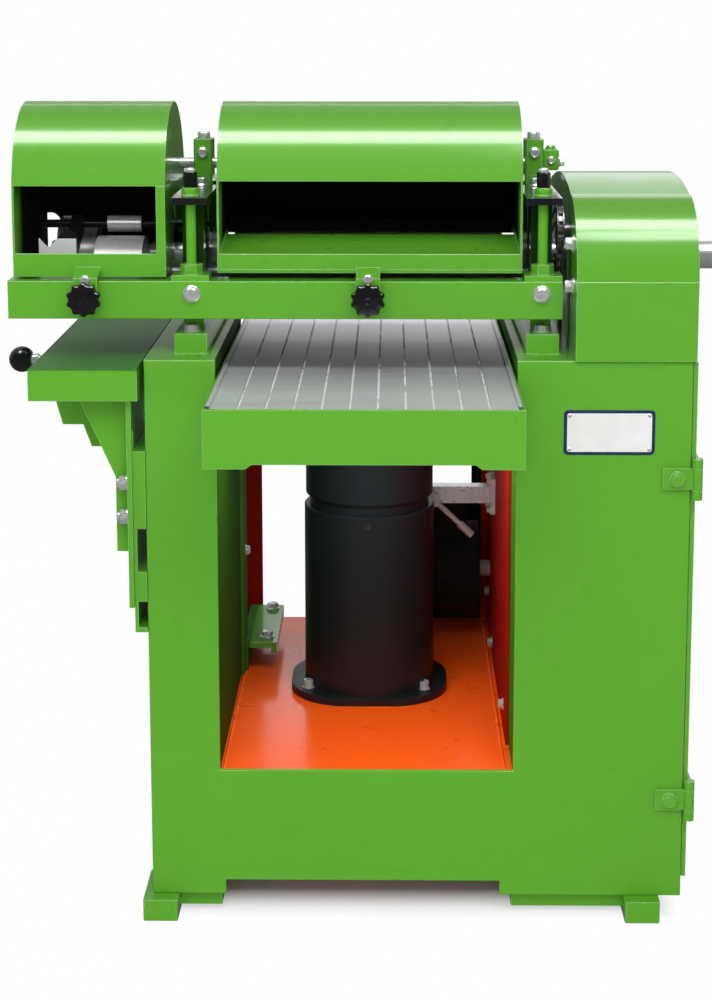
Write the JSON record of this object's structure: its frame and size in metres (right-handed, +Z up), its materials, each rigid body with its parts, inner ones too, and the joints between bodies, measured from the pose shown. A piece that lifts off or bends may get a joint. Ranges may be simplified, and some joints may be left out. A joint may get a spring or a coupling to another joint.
{
  "type": "planer moulder",
  "caption": "Floor-standing woodworking planer moulder: welded base, column-lifted thickness table, two tipping chip hoods, side moulder table and belt-driven spindle.",
  "frame": {"origin": "on the floor under the middle of the thickness table, at mid-width and mid-depth of the machine", "axes": "+X to the drive side along the spindle, -Y to the infeed side that faces the viewer, +Z up; the height is the longest extent"},
  "size_m": [1.0525, 1.03, 1.172],
  "materials": {
    "green_paint": "bright mid-green semi-gloss enamel",
    "orange_paint": "orange enamel inside the base",
    "black_paint": "satin black enamel",
    "motor_paint": "black motor enamel",
    "ground_steel": "ground bright steel",
    "dark_steel": "oiled dark steel",
    "zinc": "zinc-plated steel",
    "black_plastic": "black moulded plastic",
    "belt_rubber": "black rubber"
  },
  "bodies": {
    "base": {"front_plate": "green_paint", "left_column": "green_paint", "cabinet_shell": "green_paint", "floor_pan": "orange_paint", "rear_uprights": "orange_paint", "feet": "green_paint", "sole_bars": "dark_steel", "hinge_leaves": "green_paint", "lift_column": "black_paint", "column_stay": "zinc", "guide_rail": "green_paint", "cross_bar": "green_paint", "left_frame": "green_paint", "right_frame": "green_paint", "spindle_bearings": "ground_steel", "roller_blocks": "dark_steel", "spring_cups": "dark_steel", "tie_rods": "green_paint", "top_straps": "black_paint", "strap_studs": "black_paint", "pivot_blocks": "green_paint", "pivot_pins": "zinc", "hex_bolts": "zinc", "chip_deflector": "black_paint", "pressure_shaft": "ground_steel", "belt_guard": "green_paint", "drive_belts": "belt_rubber", "motor_body": "motor_paint", "feed_chain": "dark_steel", "feed_gearmotor": "motor_paint", "slide_rail": "green_paint"},
    "door": {"cabinet_door": "green_paint", "door_handle": "black_plastic"},
    "table": {"lift_ram": "black_paint", "lift_nut": "ground_steel", "table_bed": "green_paint", "table_plate": "ground_steel"},
    "lift_screw": {"lift_screw": "ground_steel"},
    "clamp": {"clamp_lever": "dark_steel"},
    "spindle": {"spindle": "ground_steel", "cutter_block": "ground_steel", "planer_knives": "ground_steel", "moulder_head": "ground_steel", "spindle_pulley": "dark_steel"},
    "rotor": {"motor_shaft": "ground_steel", "motor_pulley": "dark_steel"},
    "infeed": {"infeed_roller": "ground_steel", "moulder_roller": "ground_steel", "infeed_sprocket": "dark_steel"},
    "outfeed": {"outfeed_roller": "ground_steel", "outfeed_sprocket": "dark_steel"},
    "feed_drive": {"drive_sprocket": "dark_steel"},
    "main_hood": {"main_hood": "green_paint"},
    "moulder_hood": {"moulder_hood": "green_paint"},
    "main_knob": {"main_knob": "black_plastic"},
    "moulder_knob": {"moulder_knob": "black_plastic"},
    "side_table": {"moulder_table": "green_paint", "moulder_knee": "green_paint"},
    "ball": {"ball_handle": "zinc"},
    "shoe": {"pressure_shoe": "ground_steel"}
  },
  "joints": [
    {"name": "table_lift", "type": "slide", "parent": "base", "child": "table", "axis": [0, 0, 1], "range_m": [-0.008, 0.066]},
    {"name": "lift_screw_turn", "type": "hinge", "parent": "base", "child": "lift_screw", "pos_m": [0, 0.085, 0.3], "axis": [0, 0, 1], "range_deg": [-250, 1990]},
    {"name": "clamp_lever_swing", "type": "hinge", "parent": "base", "child": "clamp", "pos_m": [0.104, 0.1627, 0.507], "axis": [0, 1, 0], "range_deg": [-20, 45]},
    {"name": "door_swing", "type": "hinge", "parent": "base", "child": "door", "pos_m": [0.464, -0.285, 0.44], "axis": [0, 0, -1], "range_deg": [0, 110]},
    {"name": "spindle_turn", "type": "hinge", "parent": "base", "child": "spindle", "pos_m": [0, -0.022, 0.938], "axis": [1, 0, 0], "continuous": true},
    {"name": "rotor_turn", "type": "hinge", "parent": "base", "child": "rotor", "pos_m": [0.25, 0.33, 0.341], "axis": [1, 0, 0], "continuous": true},
    {"name": "infeed_turn", "type": "hinge", "parent": "base", "child": "infeed", "pos_m": [0, -0.125, 0.92], "axis": [1, 0, 0], "continuous": true},
    {"name": "outfeed_turn", "type": "hinge", "parent": "base", "child": "outfeed", "pos_m": [0, 0.079, 0.92], "axis": [1, 0, 0], "continuous": true},
    {"name": "feed_drive_turn", "type": "hinge", "parent": "base", "child": "feed_drive", "pos_m": [0.276, -0.16, 0.99], "axis": [1, 0, 0], "continuous": true},
    {"name": "main_hood_tip", "type": "hinge", "parent": "base", "child": "main_hood", "pos_m": [0, -0.005, 1.075], "axis": [-1, 0, 0], "range_deg": [0, 70]},
    {"name": "moulder_hood_tip", "type": "hinge", "parent": "base", "child": "moulder_hood", "pos_m": [-0.395, -0.005, 1.075], "axis": [-1, 0, 0], "range_deg": [0, 70]},
    {"name": "main_knob_turn", "type": "hinge", "parent": "main_hood", "child": "main_knob", "pos_m": [0.002, -0.26, 0.905], "axis": [0, 1, 0], "continuous": true},
    {"name": "moulder_knob_turn", "type": "hinge", "parent": "moulder_hood", "child": "moulder_knob", "pos_m": [-0.395, -0.26, 0.905], "axis": [0, 1, 0], "continuous": true},
    {"name": "side_table_lift", "type": "slide", "parent": "base", "child": "side_table", "axis": [0, 0, 1], "range_m": [-0.06, 0.044]},
    {"name": "ball_handle_turn", "type": "hinge", "parent": "side_table", "child": "ball", "pos_m": [-0.49, -0.161, 0.801], "axis": [1, 0, 0], "continuous": true},
    {"name": "pressure_shoe_swing", "type": "hinge", "parent": "base", "child": "shoe", "pos_m": [-0.42, -0.09, 0.992], "axis": [-1, 0, 0], "range_deg": [0, 8]}
  ],
  "couplings": [
    {"joint": "lift_screw_turn", "follows": "table_lift", "rad_per_m": 523.6},
    {"joint": "rotor_turn", "follows": "spindle_turn", "ratio": 0.8},
    {"joint": "outfeed_turn", "follows": "infeed_turn", "ratio": 1},
    {"joint": "feed_drive_turn", "follows": "infeed_turn", "ratio": 1}
  ]
}
